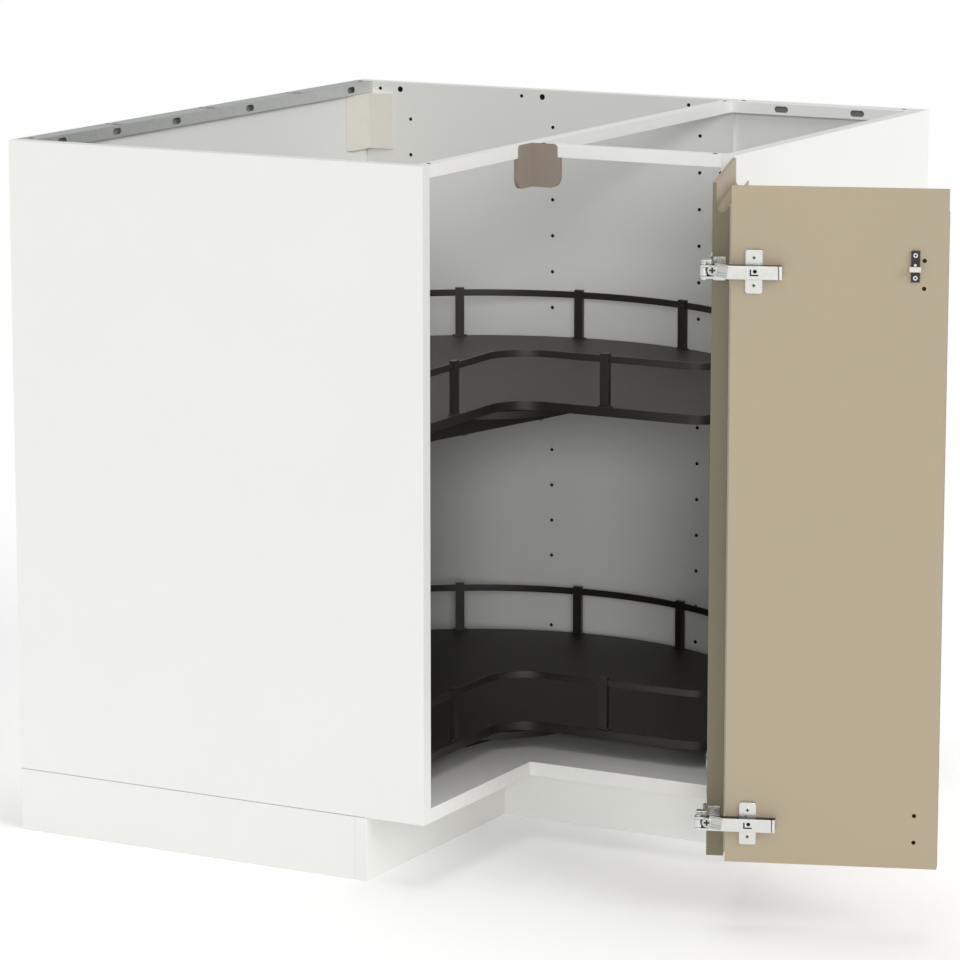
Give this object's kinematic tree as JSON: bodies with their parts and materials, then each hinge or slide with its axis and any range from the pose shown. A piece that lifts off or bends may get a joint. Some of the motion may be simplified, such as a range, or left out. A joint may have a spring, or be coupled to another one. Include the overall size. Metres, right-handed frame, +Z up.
{
  "type": "corner kitchen cabinet",
  "caption": "L-shaped corner base cabinet with an open top, turning notched trays with gallery rails, and a folding pair of beige doors.",
  "frame": {"origin": "centre of the rear corner foot's sole, on the floor; the room corner is 84 mm towards -X and 70 mm towards +Y from it", "axes": "+X along the short wing's wall, away from the corner; -Y along the long wing's wall, away from the corner; +Z up"},
  "size_m": [1.2063, 0.875, 0.881],
  "materials": {
    "white_board": "white melamine-faced board, satin",
    "back_board": "thin light grey board, matt",
    "dowel_wood": "raw beech",
    "galvanised": "zinc-coated sheet, satin",
    "white_steel": "white powder coat",
    "white_plastic": "white moulded plastic",
    "ivory_plastic": "off-white moulded plastic",
    "taupe_plastic": "taupe moulded plastic",
    "black_plastic": "black moulded plastic",
    "dark_board": "black-brown melamine-faced board",
    "zinc_steel": "zinc-plated steel",
    "ball_steel": "polished steel",
    "tray_board": "dark brown-grey melamine-faced board, satin",
    "tray_edge": "dark brown-grey edging",
    "gallery_paint": "dark brown-grey powder coat",
    "nickel": "nickel-plated steel",
    "beige_front": "beige film-faced fibreboard, matt",
    "catch_black": "black"
  },
  "bodies": {
    "carcass": {"left_side_panel": "white_board", "inner_side_panel": "white_board", "end_side_panel": "white_board", "bottom_panel": "white_board", "long_back_panel": "back_board", "short_back_panel": "back_board", "panel_dowels": "dowel_wood", "suspension_rail": "galvanised", "rear_short_rail": "white_steel", "long_front_rail": "white_steel", "short_front_rail": "white_steel", "rail_connectors": "white_plastic", "rear_corner_bracket": "ivory_plastic", "door_corner_stop": "taupe_plastic", "leg_sockets": "black_plastic", "levelling_feet": "black_plastic", "side_plinth": "white_board", "front_plinth_long": "white_board", "front_plinth_short": "white_board", "plinth_clips": "black_plastic", "support_shelf": "dark_board", "support_shelf_brackets": "zinc_steel", "upper_turntable_base": "zinc_steel", "lower_turntable_base": "zinc_steel", "lower_turntable_spacer": "black_plastic", "upper_base_bolts": "zinc_steel", "lower_base_bolts": "zinc_steel", "cabinet_hinge_plates": "nickel", "cabinet_hinge_arms": "nickel", "cabinet_hinge_pins": "nickel", "cabinet_hinge_screws": "nickel", "catch_strike": "zinc_steel"},
    "upper_tray": {"upper_tray_board": "tray_board", "upper_tray_edging": "tray_edge", "upper_gallery_rail": "gallery_paint", "upper_gallery_posts": "gallery_paint", "upper_turntable_disc": "black_plastic", "upper_tray_screws": "zinc_steel"},
    "lower_tray": {"lower_tray_board": "tray_board", "lower_tray_edging": "tray_edge", "lower_gallery_rail": "gallery_paint", "lower_gallery_posts": "gallery_paint", "lower_turntable_disc": "black_plastic", "lower_tray_screws": "zinc_steel"},
    "upper_ball_ring": {"upper_ball_cage": "white_plastic", "upper_balls": "ball_steel"},
    "lower_ball_ring": {"lower_ball_cage": "white_plastic", "lower_balls": "ball_steel"},
    "hinge_links": {"cabinet_hinge_links": "nickel"},
    "hinged_leaf": {"hinged_door_leaf": "beige_front", "hinge_cups": "nickel", "cup_screws": "nickel"},
    "folding_leaf": {"folding_door_leaf": "beige_front", "fold_hinge_plates": "nickel", "fold_hinge_arms": "nickel", "fold_hinge_pins": "nickel", "fold_hinge_screws": "nickel", "catch_plate": "catch_black", "catch_screws": "zinc_steel"},
    "roller": {"catch_roller": "white_plastic"}
  },
  "joints": [
    {"name": "door_swing", "type": "hinge", "parent": "carcass", "child": "hinged_leaf", "pos_m": [0.789, -0.532, 0.45], "axis": [0, 0, 1], "range_deg": [-110, 0]},
    {"name": "door_fold", "type": "hinge", "parent": "hinged_leaf", "child": "folding_leaf", "pos_m": [0.8781, -0.79435, 0.45], "axis": [0, 0, -1], "range_deg": [0, 60]},
    {"name": "catch_roller_spin", "type": "hinge", "parent": "folding_leaf", "child": "roller", "pos_m": [1.10469, -0.71518, 0.7865], "axis": [-0.9397, -0.342, 0], "continuous": true},
    {"name": "cabinet_hinge_link_turn", "type": "hinge", "parent": "carcass", "child": "hinge_links", "pos_m": [0.762, -0.522, 0.45], "axis": [0, 0, 1], "range_deg": [-137.5, 0]},
    {"name": "upper_tray_turn", "type": "hinge", "parent": "carcass", "child": "upper_tray", "pos_m": [0.3535, -0.3675, 0.535], "axis": [0, 0, 1], "range_deg": [-360, 360]},
    {"name": "lower_tray_turn", "type": "hinge", "parent": "carcass", "child": "lower_tray", "pos_m": [0.3535, -0.3675, 0.1204], "axis": [0, 0, 1], "range_deg": [-360, 360]},
    {"name": "upper_ball_ring_turn", "type": "hinge", "parent": "carcass", "child": "upper_ball_ring", "pos_m": [0.3535, -0.3675, 0.529], "axis": [0, 0, 1], "range_deg": [-180, 180]},
    {"name": "lower_ball_ring_turn", "type": "hinge", "parent": "carcass", "child": "lower_ball_ring", "pos_m": [0.3535, -0.3675, 0.114], "axis": [0, 0, 1], "range_deg": [-180, 180]}
  ],
  "couplings": [
    {"joint": "cabinet_hinge_link_turn", "follows": "door_swing", "ratio": 1.25},
    {"joint": "upper_ball_ring_turn", "follows": "upper_tray_turn", "ratio": 0.5},
    {"joint": "lower_ball_ring_turn", "follows": "lower_tray_turn", "ratio": 0.5}
  ]
}
